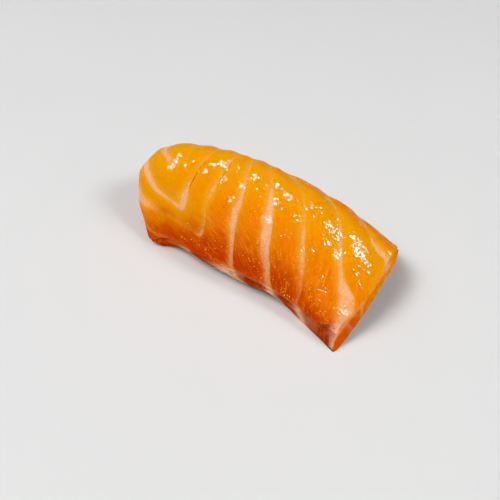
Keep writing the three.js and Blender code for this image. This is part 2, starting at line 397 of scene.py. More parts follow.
def slice_point(along, across, depth, ways):
    """A point of the slab: depth is 0 on the drape and 1 on the underside."""
    thickness = SLICE_THICKNESS_MM * (1 - EDGE_THINNING * across**4)
    side_cut = np.where(across < 0, through(NEAR_CUT, along), FAR_CUT_MM)
    side_run = np.sign(across) * side_cut * smooth(SIDE_CUT_ACROSS, np.abs(across)) ** 2
    end_run = END_CUT_MM * smooth(END_CUT_ALONG, along) ** 2
    runs = np.stack([end_run, side_run, -thickness]) * depth
    return drape(along, across) + sum(run[:, None] * unit(way) for run, way in zip(runs, ways))


class SliceGrid:
    """Every vertex of the slice as (along, across, depth), with the faces between them.

    The upper surface is a fine grid, the cut faces are a belt of rings round its border,
    and the underside is a coarser grid joined to the last ring.
    """

    def __init__(self):
        self.parts = []
        self.faces = []
        self.count = 0
        top = self.sheet(STEPS_ALONG, STEPS_ACROSS, 0, 0, 1)
        ring = border(top)
        edge = self.parts[0][:2, ring]
        rounding = CUT_ROUNDING_MM / SLICE_THICKNESS_MM
        for depth in np.linspace(rounding, 1 - rounding / 2, CUT_STEPS):
            lower = self.add(*edge, depth)
            corners = [ring, lower, np.roll(lower, -1), np.roll(ring, -1)]
            self.faces.extend(np.stack(corners, axis=-1).tolist())
            ring = lower
        steps = STEPS_ALONG // UNDERSIDE_STRIDE, STEPS_ACROSS // UNDERSIDE_STRIDE
        below = self.sheet(*steps, 1, UNDERSIDE_MARGIN, -1)
        self.zip_ring(ring, border(below))
        self.along, self.across, self.depth = np.concatenate(self.parts, axis=1)

    def add(self, along, across, depth):
        """Adds vertices and gives their numbers."""
        part = np.array(np.broadcast_arrays(along, across, depth), float).reshape(3, -1)
        self.parts.append(part)
        numbers = np.arange(self.count, self.count + part.shape[1])
        self.count += part.shape[1]
        return numbers

    def sheet(self, steps_along, steps_across, depth, margin, facing):
        """Adds a grid of vertices, a little inside the border, and its quads."""
        along = np.linspace(margin, 1 - margin, steps_along + 1)[:, None]
        across = np.linspace(-1 + 2 * margin, 1 - 2 * margin, steps_across + 1)[None, :]
        grid = self.add(along, across, depth).reshape(steps_along + 1, steps_across + 1)
        corners = [grid[:-1, :-1], grid[1:, :-1], grid[1:, 1:], grid[:-1, 1:]][::facing]
        self.faces.extend(np.stack(corners, axis=-1).reshape(-1, 4).tolist())
        return grid

    def zip_ring(self, fine, coarse):
        """Joins a fine ring to one with a vertex for every few of its own."""
        stride = len(fine) // len(coarse)
        half = stride // 2
        owners = np.roll(np.repeat(coarse, stride), half - stride)
        fans = np.stack([fine, owners, np.roll(fine, -1)], axis=-1)
        between = np.stack([fine[half::stride], coarse, np.roll(coarse, -1)], axis=-1)
        self.faces.extend(fans.tolist() + between.tolist())


def border(grid):
    """The border of a grid as one loop, from the tail's near corner along the near edge."""
    return np.concatenate([grid[:-1, 0], grid[-1, :-1], grid[:0:-1, -1], grid[0, :0:-1]])


def seam_distance(seam, along, across, length, width):
    """Distance from a seam in mm, positive on its sharp side, with the seam's values there."""
    line = through(seam, np.linspace(0, 1, SEAM_SAMPLES))
    run_along, run_across = np.gradient(line[:, :2], axis=0).T
    east = (along[:, None] - line[:, 0]) * length[:, None]
    north = (across[:, None] - line[:, 1]) * width[:, None]
    nearest = np.argmin(east**2 + north**2, axis=1)
    rows = np.arange(len(along))
    east, north = east[rows, nearest], north[rows, nearest]
    run_east = run_along[nearest] * length
    run_north = run_across[nearest] * width
    run = np.hypot(run_east, run_north)
    aside = (east * run_north - north * run_east) / run
    ahead = (east * run_east + north * run_north) / run
    past_end = np.where(nearest == 0, np.minimum(ahead, 0), 0)
    past_end = np.where(nearest == SEAM_SAMPLES - 1, np.maximum(ahead, 0), past_end)
    distance = np.sign(aside) * np.hypot(aside, past_end)
    return (distance, *line[nearest, 2:].T)


class SliceFields:
    """What the seams do to every vertex of the slice.

    gap is the distance in mm outside the nearest fat, negative inside it. soft is 1
    where the fat's border is feathered, strength is how pale the fat is, and crack is 1
    in a crack along a seam. rim is the distance in mm from the border of the upper
    surface, negative on the cut faces, and cut is how far a vertex lies in a cut face.
    """

    def __init__(self, grid, ways, base):
        self.count = len(grid.along)
        length, width = (np.linalg.norm(way, axis=-1) for way in ways[:2])
        self.rim = self.rim_distance(grid, length, width)
        self.crack = np.zeros(self.count)
        self.layers = []
        self.add_layer(FIELD_REACH_MM, 1, PLAIN_STRENGTH)
        slant = CUT_SLANT * (1 + ripple(base, "slant_sway")) * grid.depth
        along = grid.along + np.where(grid.along < END_SLANT_ALONG, slant, 0)
        for seam in SEAMS.values():
            self.add_seam(seam, along, grid.across, length, width)
        at_end = (grid.along > END_FACE_ALONG) & (grid.depth > 0)
        for gap, _, _ in self.layers:
            gap += np.where(at_end, END_FADE_MM * grid.depth, 0)
        for place in END_SEAMS:
            aside = np.abs(grid.across - place + END_SEAM_SLANT * grid.depth) * width
            gap = np.where(at_end, aside - END_SEAM_HALF_MM, FIELD_REACH_MM)
            self.add_layer(gap, 1, END_SEAM_STRENGTH)
        below = seam_distance(NEAR_CUT_LINE, grid.along, grid.across, length, width)[0]
        self.add_layer(np.abs(below) - CUT_LINE_HALF_MM, CUT_LINE_SOFT, CUT_LINE_STRENGTH)
        below = below + CUT_FACE_LEAD_MM * (grid.depth > 0)
        self.cut = np.maximum(below, -self.rim) * smooth(CUT_ALONG, grid.along)
        self.blend_layers()

    def add_layer(self, gap, soft, strength):
        """Adds what one seam gives every vertex."""
        self.layers.append([np.zeros(self.count) + value for value in (gap, soft, strength)])

    def add_seam(self, seam, along, across, length, width):
        """Adds a seam of the table, measured at the vertices that it can reach."""
        first, last = (end(point[0] for point in seam) for end in (min, max))
        span = (last - first) / 2 + FIELD_REACH_MM / LEAST_MM_ALONG
        near = np.abs(along - (first + last) / 2) < span
        rows = [(*point, 0)[:5] for point in seam]
        measured = seam_distance(rows, along[near], across[near], length[near], width[near])
        distance, half, strength, crack = measured
        self.add_layer(FIELD_REACH_MM, 1, PLAIN_STRENGTH)
        gap, soft, pale = self.layers[-1]
        gap[near] = np.abs(distance) - half
        soft[near] = level(SOFT_SIDE, distance / half)
        pale[near] = strength * level(THIN_SEAM, half)
        self.crack[near] += crack * np.exp(-(((distance - half) / CRACK_WIDTH_MM) ** 2))

    def blend_layers(self):
        """Works out gap, soft and strength, in which the nearest seam counts most."""
        gaps, softs, strengths = (np.array(part) for part in zip(*self.layers))
        gaps = np.minimum(gaps, FIELD_REACH_MM)
        lowest = gaps.min(axis=0)
        shares = np.exp((lowest - gaps) / SEAM_BLEND_MM)
        total = shares.sum(axis=0)
        self.gap = lowest - SEAM_BLEND_MM * np.log(total)
        self.soft = (shares * softs).sum(axis=0) / total
        self.strength = (shares * strengths).sum(axis=0) / total

    @staticmethod
    def rim_distance(grid, length, width):
        """Distance from the upper surface's border, with square corners rounded off."""
        ways = (1 - np.abs(grid.across)) * width, (1 - grid.along) * length, grid.along * length
        overlaps = [np.maximum(CUT_ROUNDING_MM - way, 0) for way in ways]
        overlap = np.minimum(np.linalg.norm(overlaps, axis=0), CUT_ROUNDING_MM)
        inside = np.where(overlap > 0, CUT_ROUNDING_MM - overlap, np.minimum(*ways[:2]))
        return np.where(grid.depth > 0, -grid.depth * SLICE_THICKNESS_MM, inside)


def fibre_places(grid):
    """Places in mm across and along the fibres of the block that each vertex lies in."""
    block = np.zeros(len(grid.along), int)
    for name in BLOCK_SEAMS:
        points = [point[:2] for point in SEAMS[name] if point[0] > BLOCKS_ALONG]
        along, across = np.array(sorted(points, key=lambda point: point[1])).T
        block += grid.along > np.interp(grid.across, across, along)
    angle = np.radians(np.array(FIBRE_ANGLES)[block])
    onward = grid.along * MM_ALONG
    outward = np.abs(grid.across) * MM_ACROSS
    sideways = onward * np.sin(angle) - outward * np.cos(angle)
    return sideways, onward * np.cos(angle) + outward * np.sin(angle)


def low_red_and_shade_places(grid, base):
    """How far down the flanks each vertex lies, from 0 on top to 1 at the edges. It sets
    their redder tone, which is partly painted shade.
    """
    reach = np.abs(grid.across) + ripple(base, "low_waves") + ripple(base, "low_frays")
    reach -= level(LOW_SOONER, grid.along)
    late = smooth(LOW_ALONG, grid.along)
    sides = late * smooth(LOW_SPAN, reach) + (1 - late) * smooth(LOW_SPAN_TAIL, reach)
    return np.maximum(sides, level(LOW_TAIL_END, grid.along + ripple(base, "tail_waves")))


def deep_places(grid):
    """How far each vertex lies from the yellow crest, as the colour of the flesh goes, which
    is partly painted light and shade.
    """
    rate = np.where(grid.across > 0, DEEP_FAR, level(DEEP_NEAR, grid.along))
    return np.abs(grid.across) * rate + level(DEEP_TAIL_END, grid.along)


def ripple(points, name):
    """Smooth noise at every point, up and down by the named ripple's height."""
    height, size_mm, seed = RIPPLES[name]
    shift = Vector([seed * part for part in RIPPLE_SHIFT])
    scaled = (points / size_mm).tolist()
    return height * np.array([noise.noise(Vector(point) + shift) for point in scaled])


def dip(points, name):
    """The named ripple, from 0 down to twice its height."""
    return RIPPLES[name][0] + ripple(points, name)


def slice_relief(grid, fields, base, settings):
    """How far in mm each vertex lies inside the drape, and stands out of a cut face."""
    short = 1 - np.clip(fields.rim, 0, CUT_ROUNDING_MM) / CUT_ROUNDING_MM
    rounded = CUT_ROUNDING_MM * (1 - np.sqrt(1 - short**2))
    beside = np.exp(-((np.maximum(fields.gap, 0) / BULGE_FADE_MM) ** 2))
    bulge = settings.block_bulge / MM * beside
    groove = fields.strength * level(GROOVE_MM, fields.gap)
    crack = settings.crack_depth / MM * fields.crack
    swell = dip(base, "swell") + dip(base, "dimples")
    beads = dip(base, "beads") * level(BEADS_ALONG, grid.along)
    beads *= level(BEADS_ACROSS, grid.across)
    cut = np.maximum(fields.cut, 0)
    step = level(CUT_STEP_MM, cut) * smooth(CUT_STEP_GAP_MM, fields.gap) + CUT_SLOPE * cut
    relief = rounded + bulge + groove + crack + swell + beads + step
    streaks = ripple(base * STREAK_STRETCH, "cut_streaks") + ripple(base, "cut_grain")
    on_cut = (grid.depth > 0) & (grid.depth < 1)
    return np.where(grid.depth == 0, relief, 0), np.where(on_cut, streaks, 0)


def make_slice(settings):
    """The slice of salmon as one closed mesh with its seam fields."""
    grid = SliceGrid()
    ways = directions(grid.along, grid.across)
    base = slice_point(grid.along, grid.across, grid.depth, ways)
    fields = SliceFields(grid, ways, base)
    relief, cut_relief = slice_relief(grid, fields, base, settings)
    points = base - relief[:, None] * ways[2]
    inner_along = grid.along * INNER_ALONG + (1 - INNER_ALONG) / 2
    inner = slice_point(inner_along, grid.across * INNER_ACROSS, grid.depth, ways)
    points += np.minimum(cut_relief, CUT_RELIEF_MM)[:, None] * unit(points - inner)
    values = (
        fields.gap, fields.soft, fields.strength, fields.crack, fields.rim, fields.cut,
        low_red_and_shade_places(grid, base), deep_places(grid), *fibre_places(grid),
        grid.along > END_FACE_ALONG, smooth(NEAR_END_ACROSS, grid.across),
    )
    attributes = dict(zip(SLICE_FIELDS, values))
    return mesh_piece("salmon_flesh", centred(points, SLICE_BOX), grid.faces, attributes)


# ---- shared mesh work


def middle_shift(points, box):
    """The level move in mm that puts the middle of points over the middle of a box."""
    low, high = (np.array(corner) / MM for corner in box)
    shift = (low + high) / 2 - (points.min(axis=0) + points.max(axis=0)) / 2
    shift[2] = 0
    return shift


def centred(points, box):
    """Points in mm moved to a node's place in the frame, kept inside the whole part's box."""
    limits = [np.array(corner) / MM for corner in CAD_BOX]
    return np.clip(points + middle_shift(points, box), *limits)


def mesh_piece(name, points_mm, faces, attributes=None):
    """A smooth-shaded mesh object made from points in mm."""
    mesh = bpy.data.meshes.new(name)
    mesh.from_pydata((points_mm * MM).tolist(), [], faces)
    mesh.polygons.foreach_set("use_smooth", [True] * len(mesh.polygons))
    for key, values in (attributes or {}).items():
        layer = mesh.attributes.new(key, "FLOAT", "POINT")
        layer.data.foreach_set("value", np.asarray(values, np.float32))
    mesh.validate()
    mesh.update()
    piece = bpy.data.objects.new(name, mesh)
    bpy.context.scene.collection.objects.link(piece)
    return piece


# ---- shape of the rice


def loaf(station, angle, inset_mm):
    """Points on the bed of rice, some way inside its outline; station runs from -1 to 1."""
    station, angle = np.broadcast_arrays(station, angle)
    plan = (1 - np.abs(station) ** RICE_PLAN_POWER) ** (1 / RICE_PLAN_POWER)
    side = np.cos(angle)
    top = np.interp(station, (-1, 1), RICE_TOP_MM)
    rise = (top - RICE_CENTRE[2] - inset_mm) * plan * (1 - np.abs(side) ** RICE_ARCH_POWER)
    foot = (RICE_BELOW_WAIST_MM - inset_mm) * np.sqrt(plan)
    drop = foot * (1 - np.abs(side) ** RICE_FOOT_POWER)
    x = station * (RICE_HALF_LENGTH_MM - inset_mm)
    y = (RICE_HALF_WIDTH_MM - inset_mm) * plan * side
    z = np.where(np.sin(angle) > 0, rise, -drop)
    points = np.stack([x, y, z], axis=-1) + RICE_CENTRE
    points[..., 2] = np.maximum(points[..., 2], 0)
    return points


def rice_place(points):
    """Moves points in mm from the slice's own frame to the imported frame."""
    stations, turns = RICE_OUTLINE_STEPS
    angles = np.linspace(0, 2 * np.pi, turns)[:, None]
    outline = loaf(np.linspace(-1, 1, stations), angles, 0).reshape(-1, 3)
    placed = points + middle_shift(outline, RICE_BOX)
    low, high = (np.array(corner) / MM for corner in RICE_BOX)
    return np.clip(placed, low + RICE_MARGIN_MM, high - RICE_MARGIN_MM)


def ring_places(rings, steps):
    """Stations from -1 to 1 of the rings between two poles, and the angles round them."""
    stations = -np.cos(np.pi * np.arange(1, rings) / rings)
    return stations[:, None], 2 * np.pi * np.arange(steps) / steps


def ring_faces(rings, steps):
    """Faces between such rings and their two poles, whose vertices come last."""
    number = np.arange((rings - 1) * steps).reshape(rings - 1, steps)
    onward = np.roll(number, -1, axis=1)
    corners = [number[:-1], onward[:-1], onward[1:], number[1:]]
    faces = np.stack(corners, axis=-1).reshape(-1, 4).tolist()
    faces += [[number.size, int(b), int(a)] for a, b in zip(number[0], onward[0])]
    faces += [[number.size + 1, int(a), int(b)] for a, b in zip(number[-1], onward[-1])]
    return faces


def make_rice_core(settings):
    """The smaller core under the grains, lumpy all over."""
    inset = settings.core_inset / MM
    sides = loaf(*ring_places(*CORE_GRID), inset).reshape(-1, 3)
    points = np.concatenate([sides, loaf([-1, 1], 0, inset)])
    lumps = ripple(points, "core_lumps") + ripple(points, "core_pits")
    points = points + lumps[:, None] * unit(points - RICE_CENTRE)
    return mesh_piece("rice_core", rice_place(points), ring_faces(*CORE_GRID))


def grain_shape():
    """One plump grain along X with unit length, width and thickness, and its faces."""
    places, angles = ring_places(*GRAIN_GRID)
    girth = (1 - np.abs(places) ** GRAIN_PLUMPNESS) ** 0.5
    rounds = np.broadcast_arrays(places, girth * np.cos(angles), girth * np.sin(angles))
    sides = np.stack(rounds, axis=-1).reshape(-1, 3)
    return np.concatenate([sides, [[-1, 0, 0], [1, 0, 0]]]) / 2, ring_faces(*GRAIN_GRID)


def spread_over_loaf(rng, spacing_mm, inset_mm):
    """Evenly spread places on the loaf, as (point, outward way) pairs."""
    stations = np.sin(rng.uniform(-np.pi / 2, np.pi / 2, GRAIN_TRIES))
    angles = rng.uniform(0, 2 * np.pi, GRAIN_TRIES)
    points = loaf(stations, angles, inset_mm)
    beyond = loaf(stations, angles, inset_mm - GRAIN_OUTWARD_MM)
    kept = []
    for point, outer in zip(points, beyond):
        if outer[2] < GRAIN_LOWEST_MM:
            continue
        if kept and np.min(np.linalg.norm(np.array(kept)[:, 0] - point, axis=1)) < spacing_mm:
            continue
        kept.append((point, unit(outer - point)))
    return kept


def turned_grain(rng, shape, settings, place, outward):
    """A grain of its own size and bend, lying on the loaf any way round."""
    length = settings.grain_length / MM * rng.uniform(*GRAIN_LENGTHS)
    width = settings.grain_width / MM * rng.uniform(*GRAIN_WIDTHS)
    points = shape * (length, width, width * rng.uniform(*GRAIN_THICKNESSES))
    points[:, 2] -= rng.uniform(*GRAIN_BENDS_MM) * (2 * points[:, 0] / length) ** 2
    points[:, 1] *= 1 + GRAIN_TAPER * rng.uniform(-1, 1) * points[:, 0] / length
    lean = rng.normal(0, GRAIN_LEAN)
    heading = unit(unit(np.cross(outward, rng.normal(0, 1, 3))) + lean * outward)
    sideways = unit(np.cross(outward, heading))
    return points @ np.array([heading, sideways, np.cross(heading, sideways)]) + place


def make_rice_grains(settings):
    """Every grain on the bed, as one joined mesh."""
    rng = np.random.default_rng(settings.seed)
    shape, shape_faces = grain_shape()
    grains = []
    faces = []
    tones = []
    for inset, share in GRAIN_LAYERS:
        spacing = share * settings.grain_spacing / MM
        for place, outward in spread_over_loaf(rng, spacing, inset):
            offset = len(grains) * len(shape)
            grains.append(turned_grain(rng, shape, settings, place, outward))
            faces += [[offset + number for number in face] for face in shape_faces]
            tones.append(np.full(len(shape), rng.uniform(0, 1)))
    points = rice_place(np.concatenate(grains))
    return mesh_piece("rice_grains", points, faces, {"tone": np.concatenate(tones)})


# ---- shader expressions


def both_ways(operation):
    """An operator and its reflected form, each of which adds a Math node."""

    def forward(self, other):
        return self.net.add("Math", {"operation": operation}, {0: self, 1: other})

    def reflected(self, other):
        return self.net.add("Math", {"operation": operation}, {0: other, 1: self})

    return forward, reflected


class Wire:
    """A shader socket that can stand in an arithmetic expression."""

    def __init__(self, net, socket):
        self.net = net
        self.socket = socket

    __add__, __radd__ = both_ways("ADD")
    __sub__, __rsub__ = both_ways("SUBTRACT")
    __mul__, __rmul__ = both_ways("MULTIPLY")
    __truediv__, __rtruediv__ = both_ways("DIVIDE")


class Net:
    """The nodes of one material."""

    def __init__(self, name):
        self.material = bpy.data.materials.new(name)
        self.material.use_nodes = True
        self.tree = self.material.node_tree
        self.tree.nodes.clear()

    def add(self, kind, settings=None, sockets=None, output=0):
        """Adds a node: its settings first, then the values or links of its sockets."""
        node = self.tree.nodes.new("ShaderNode" + kind)
        for name, value in (settings or {}).items():
            setattr(node, name, value)
        for name, value in (sockets or {}).items():
            if isinstance(value, Wire):
                self.tree.links.new(value.socket, node.inputs[name])
            else:
                node.inputs[name].default_value = value
        return Wire(self, node.outputs[output]) if len(node.outputs) else node

    def attribute(self, name):
        """What the mesh stores under a name."""
        return self.add("Attribute", {"attribute_name": name}, output="Fac")

    def step(self, value, low, high):
        """0 at low and 1 at high, whichever is larger, smooth between and level beyond."""
        sockets = {"Value": value, "From Min": low, "From Max": high}
        return self.add("MapRange", {"interpolation_type": "SMOOTHSTEP"}, sockets)

    def mix(self, share, first, second):
        """The first colour where share is 0 and the second where it is 1."""
        first, second = (rgba(colour) for colour in (first, second))
        return self.add("Mix", {"data_type": "RGBA"}, {0: share, 6: first, 7: second}, 2)

    def noise(self, place, size_mm, detail=2.0, **more):
        """Noise from 0 to 1 with features of about the given size."""
        sockets = {"Vector": place, "Scale": 1 / (size_mm * MM), "Detail": detail, **more}
        return self.add("TexNoise", None, sockets)

    def cells(self, place, spacing_mm):
        """Distance from the nearest of scattered places, as a share of their spacing."""
        sockets = {"Vector": place, "Scale": 1 / (spacing_mm * MM)}
        return self.add("TexVoronoi", {"feature": "F1"}, sockets)

    def bump(self, height, distance, strength=1.0):
        """The normal that a height gives."""
        sockets = {"Strength": strength, "Distance": distance, "Height": height}
        return self.add("Bump", None, sockets)

    def finish(self, **sockets):
        """Adds the surface shader and the output, and gives the material."""
        named = {name.replace("_", " "): value for name, value in sockets.items()}
        shader = self.add("BsdfPrincipled", None, named)
        self.add("OutputMaterial", None, {"Surface": shader})
        return self.material


def rgba(colour):
    """A colour as a socket takes it, or a wire as it is."""
    return colour if isinstance(colour, Wire) else (*colour[:3], 1.0)


# ---- materials


# Sizes in mm of what shows in the flesh, in the fat and in the wet film.
BROAD_MM = 9
CLOUD_MM = 2.2
FIBRE_MM = 0.42
STRAND_MM = 1.3
STREAK_MM = 0.7
RAGGED_MM = 1.1
FRAYED_MM = 0.35
FAT_GRAIN_MM = 0.45
FAT_CLOT_MM = 2.6
PORE_SPACING_MM = 3.6
SPECK_SPACING_MM = 0.7
SPECK_SIZES_MM = 1.4
SPECK_PATCH_MM = 3.4
FILM_PATCH_MM = 3
FILM_BEAD_MM = 0.48
FINE_MM = 0.5

# How much fibres are drawn out along their run, and into the slice.
FIBRE_RUN_SHARE = 0.07
FIBRE_RIM_SHARE = 0.2
LOWER_RIM_MM = (-3.6, -3.9)


def raw_salmon(settings):
    """Moist orange flesh with pale seams of fat, redder down its sides and on its cuts, with
    painted light on the crest and painted shade down the sides, besides the flesh's own tones.
    """
    net = Net("raw_salmon")
    place = net.add("TexCoord", output="Object")
    (
        gap, soft, strength, crack, rim, cut_depth, low, deepness,
        fibre_side, fibre_run, end_face, near_end,
    ) = (net.attribute(name) for name in SLICE_FIELDS)
    lie = net.add("CombineXYZ", None, {
        "X": fibre_side * MM,
        "Y": fibre_run * (FIBRE_RUN_SHARE * MM),
        "Z": rim * (FIBRE_RIM_SHARE * MM),
    })
    broad = net.noise(place, BROAD_MM) - 0.5
    cloud = net.noise(place, CLOUD_MM, 3.0)
    fibres = net.noise(lie, FIBRE_MM, 3.0, Distortion=0.3)
    strands = net.noise(lie, STRAND_MM, Distortion=0.5)

    # Flesh: yellower on top and beside the fat, redder low down. On top and low down this
    # is partly painted light and shade.
    beside = (1 - net.step(gap, 0.1, 1.6)) * 0.45 * (1 - low)
    sway = (strands - 0.5) * 0.5
    deep = net.step(deepness, 0, 0.68) - beside + broad * 0.5 + sway
    flesh = net.mix(deep, settings.flesh_crest_and_light, settings.flesh_deep)
    flesh = net.mix(low + sway * low, flesh, settings.flesh_side_and_shade)
    slope = net.step(deepness, 0.2, 0.6)
    light = net.step(fibres, 0.52, 0.7) * (0.08 + slope * 0.27)
    dark = net.step(fibres, 0.47, 0.3) * (0.03 + slope * 0.15)
    flesh = net.mix(light, flesh, settings.fibre)
    flesh = net.mix(dark, flesh, settings.fibre_dark)

    # Cut faces: dark, streaked and with a pale lower rim, but bright at the square end.
    on_cut = net.step(cut_depth, 0, 0.2)
    streaks = net.noise(lie, STREAK_MM, 4.0, Distortion=0.8)
    grains = net.step(streaks * 0.6 + cloud * 0.4, 0.36, 0.66)
    cut = net.mix(grains, settings.cut_dark, settings.cut_light)
    end = net.mix(near_end + (cloud - 0.5) * 0.6, settings.cut_end, settings.cut_end_low)
    end = net.mix(grains * 0.55, end, settings.cut_end_low)
    flesh = net.mix(on_cut, flesh, net.mix(end_face, cut, end))

    # Fat: one border feathered into the flesh, the other sharp.
    ragged = (net.noise(place, RAGGED_MM, 4.0) - 0.5) * 0.7
    ragged = ragged + (net.noise(place, FRAYED_MM) - 0.5) * 0.4
    feather = SEAM_SHARP_MM + soft * (SEAM_SOFT_MM - SEAM_SHARP_MM) + on_cut * 0.3
    edge = (gap + ragged * (0.12 + feather + on_cut * 0.3)) / feather
    core = net.step(gap, 0, -0.7)
    grain = (net.noise(place, FAT_GRAIN_MM) - 0.5) * (0.8 - on_cut * 0.5)
    clots = net.step(net.noise(place, FAT_CLOT_MM), 0.38, 0.6)
    whole = 0.6 + clots * 0.2 + core * (0.2 + grain) + grain * 0.5
    share = (1 - net.step(edge, -1.0, 1.0)) * strength * whole
    share = share * (1 + on_cut * 0.3) * (1 - on_cut * grains * 0.3)
    # Fat low down is darker and redder, partly as painted shade.
    thin = net.mix(low, settings.fat_thin, settings.fat_thin_side_and_shade)
    fat = net.mix(low, settings.fat, settings.fat_side_and_shade)
    fat = net.mix(net.step(share, 0.35, 1.0), thin, fat)
    fat = net.mix(on_cut, fat, settings.fat_cut)
    colour = net.mix(share, flesh, fat)
    colour = net.mix(net.step(rim, *LOWER_RIM_MM) * (0.5 + grain), colour, settings.fat_cut)

    # Dark hairline cracks and a few pores, and bright specks that are partly pale grains and
    # partly painted highlights.
    # Cracks are carved as grooves, and are also painted darker as shade in them.
    colour = net.mix(net.step(crack, 0.25, 0.8) * 0.65, colour, settings.crack)
    pores = 1 - net.step(net.cells(place, PORE_SPACING_MM), 0.025, 0.055)
    colour = net.mix(pores * 0.7, colour, settings.crack)
    # Bright specks: partly pale grains, partly painted small highlights.
    sizes = net.noise(place, SPECK_SIZES_MM, 1.0)
    dots = net.cells(place, SPECK_SPACING_MM) + sizes * 0.3
    grainy = net.step(net.noise(place, SPECK_PATCH_MM, 3.0) + slope * 0.1, 0.53, 0.64)
    speck_and_glint_spots = (1 - net.step(dots, 0.24, 0.38)) * grainy * (1 - on_cut)
    colour = net.mix(speck_and_glint_spots * 0.8, colour, settings.speck_and_glint)

    # Wet surface: matt flesh under a beaded film in patches, which alone glints.
    patches = net.step(net.noise(place, FILM_PATCH_MM, 3.0), 0.44, 0.52)
    beads = net.step(net.noise(place, FILM_BEAD_MM), 0.55, 0.58)
    film = patches * beads * (1 - on_cut) * (1 - net.step(low, 0.1, 0.6))
    height = fibres * 0.35 + strands * 0.4 + speck_and_glint_spots * 0.8 + net.noise(place, FINE_MM) * 0.5
    return net.finish(
        Base_Color=colour,
        Roughness=settings.wet_roughness + (cloud - 0.5) * 0.14,
        IOR=1.4,
        Subsurface_Weight=0.25,
        Subsurface_Radius=(1.0, 0.25, 0.06),
        Subsurface_Scale=0.0018,
        Specular_IOR_Level=0.0,
        Coat_Weight=film,
        Coat_Roughness=0.03,
        Coat_IOR=1.5,
        Normal=net.bump(height, settings.wet_relief),
    )


def cooked_rice(settings):
    """Moist, slightly translucent white grains."""
    net = Net("cooked_rice")
    place = net.add("TexCoord", output="Object")
    warmth = net.attribute("tone") * 0.6 + (net.noise(place, 1.8, 3.0) - 0.5) * 0.5
    return net.finish(
        Base_Color=net.mix(warmth, settings.grain_light, settings.grain_warm),
        Roughness=0.32 + (net.noise(place, 0.8) - 0.5) * 0.2,
        IOR=1.4,
        Subsurface_Weight=0.5,
        Subsurface_Radius=(1.0, 0.8, 0.6),
        Subsurface_Scale=0.0014,
        Normal=net.bump(net.noise(place, FINE_MM, 3.0), settings.grain_relief, 0.6),
    )


def pale_floor(settings):
    """Matt pale floor with a trace of unevenness."""
    net = Net("pale_floor")
    place = net.add("TexCoord", output="Object")
    share = net.step(net.noise(place, 60.0), 0.3, 0.7) * 0.25
    darker = [0.97 * part for part in settings.floor_colour]
    colour = net.mix(share, settings.floor_colour, darker)
    return net.finish(Base_Color=colour, Roughness=0.8, Specular_IOR_Level=0.0)


# ---- settings


def colour_property(name, description, *srgb):
    """A colour, given as sRGB from 0 to 255."""
    return bpy.props.FloatVectorProperty(
        name=name, description=description, default=linear(*srgb), subtype="COLOR", min=0, max=1
    )


def number_property(name, description, default, **more):
    """A plain number."""
    return bpy.props.FloatProperty(name=name, description=description, default=default, **more)


def length_property(name, description, default_mm):
    """A length, given in mm."""
    return number_property(name, description, default_mm * MM, unit="LENGTH", precision=5)


class SalmonSettings(bpy.types.PropertyGroup):
    """Finish and relief of the slice."""

    # Crest flesh is partly painted light, and low flesh and fat partly painted shade.
    flesh_crest_and_light: colour_property("Flesh on top", "Flesh on the crest", 246, 160, 0)
    flesh_deep: colour_property("Flesh on the slopes", "Flesh half way down", 246, 124, 0)
    flesh_side_and_shade: colour_property("Flesh low down", "Flesh along the lower flanks", 196, 62, 0)
    fibre: colour_property("Light fibres", "Fine light fibres in the flesh", 250, 165, 40)
    fibre_dark: colour_property("Dark fibres", "Fine dark fibres in the flesh", 176, 44, 0)
    fat: colour_property("Fat", "Thick seams of fat on top", 250, 188, 138)
    fat_side_and_shade: colour_property("Fat low down", "Thick seams on the flanks", 224, 148, 96)
    fat_thin: colour_property("Thin fat", "Flesh seen through thin fat", 248, 166, 70)
    fat_thin_side_and_shade: colour_property("Thin fat low", "The same on the flanks", 226, 128, 60)
    fat_cut: colour_property("Fat on cuts", "Seams on the cut faces", 246, 190, 150)
    cut_dark: colour_property("Dark of cuts", "Dark streaks of a cut face", 158, 48, 8)
    cut_light: colour_property("Light of cuts", "Light streaks of a cut face", 196, 82, 26)
    cut_end: colour_property("End face", "Flesh on the square cut end", 255, 156, 0)
    cut_end_low: colour_property("End face low", "The end face's near part", 232, 96, 0)
    # The crack colour is painted shade in the grooves along seams, and also darkens the pores.
    crack: colour_property("Cracks", "Hairline cracks and pores", 110, 34, 4)
    # Specks: partly pale grains, partly painted highlights.
    speck_and_glint: colour_property("Specks", "Bright specks in the flesh", 255, 208, 96)
    block_bulge: length_property("Block bulge", "How far blocks stand above their seams", 0.3)
    crack_depth: length_property("Crack depth", "Depth of the cracks along seams", 0.14)
    wet_relief: length_property("Wet relief", "Height of the finest relief", 0.05)
    wet_roughness: number_property("Roughness", "Roughness of the flesh", 0.42, subtype="FACTOR")


class RiceSettings(bpy.types.PropertyGroup):
    """Size and finish of the rice."""

    grain_length: length_property("Grain length", "Length of a cooked grain", 5.6)
    grain_width: length_property("Grain width", "Width of a cooked grain", 2.7)
    grain_spacing: length_property("Spacing", "Distance between neighbouring grains", 2.1)
    core_inset: length_property("Core inset", "Depth of the core under the outline", 1.9)
    grain_relief: length_property("Grain relief", "Height of the relief on a grain", 0.06)
    seed: bpy.props.IntProperty(name="Seed", description="Seed of the grains' places", default=11)
    grain_light: colour_property("Light grains", "Whitest grains", 250, 246, 236)
    grain_warm: colour_property("Warm grains", "Warmest grains", 240, 230, 206)


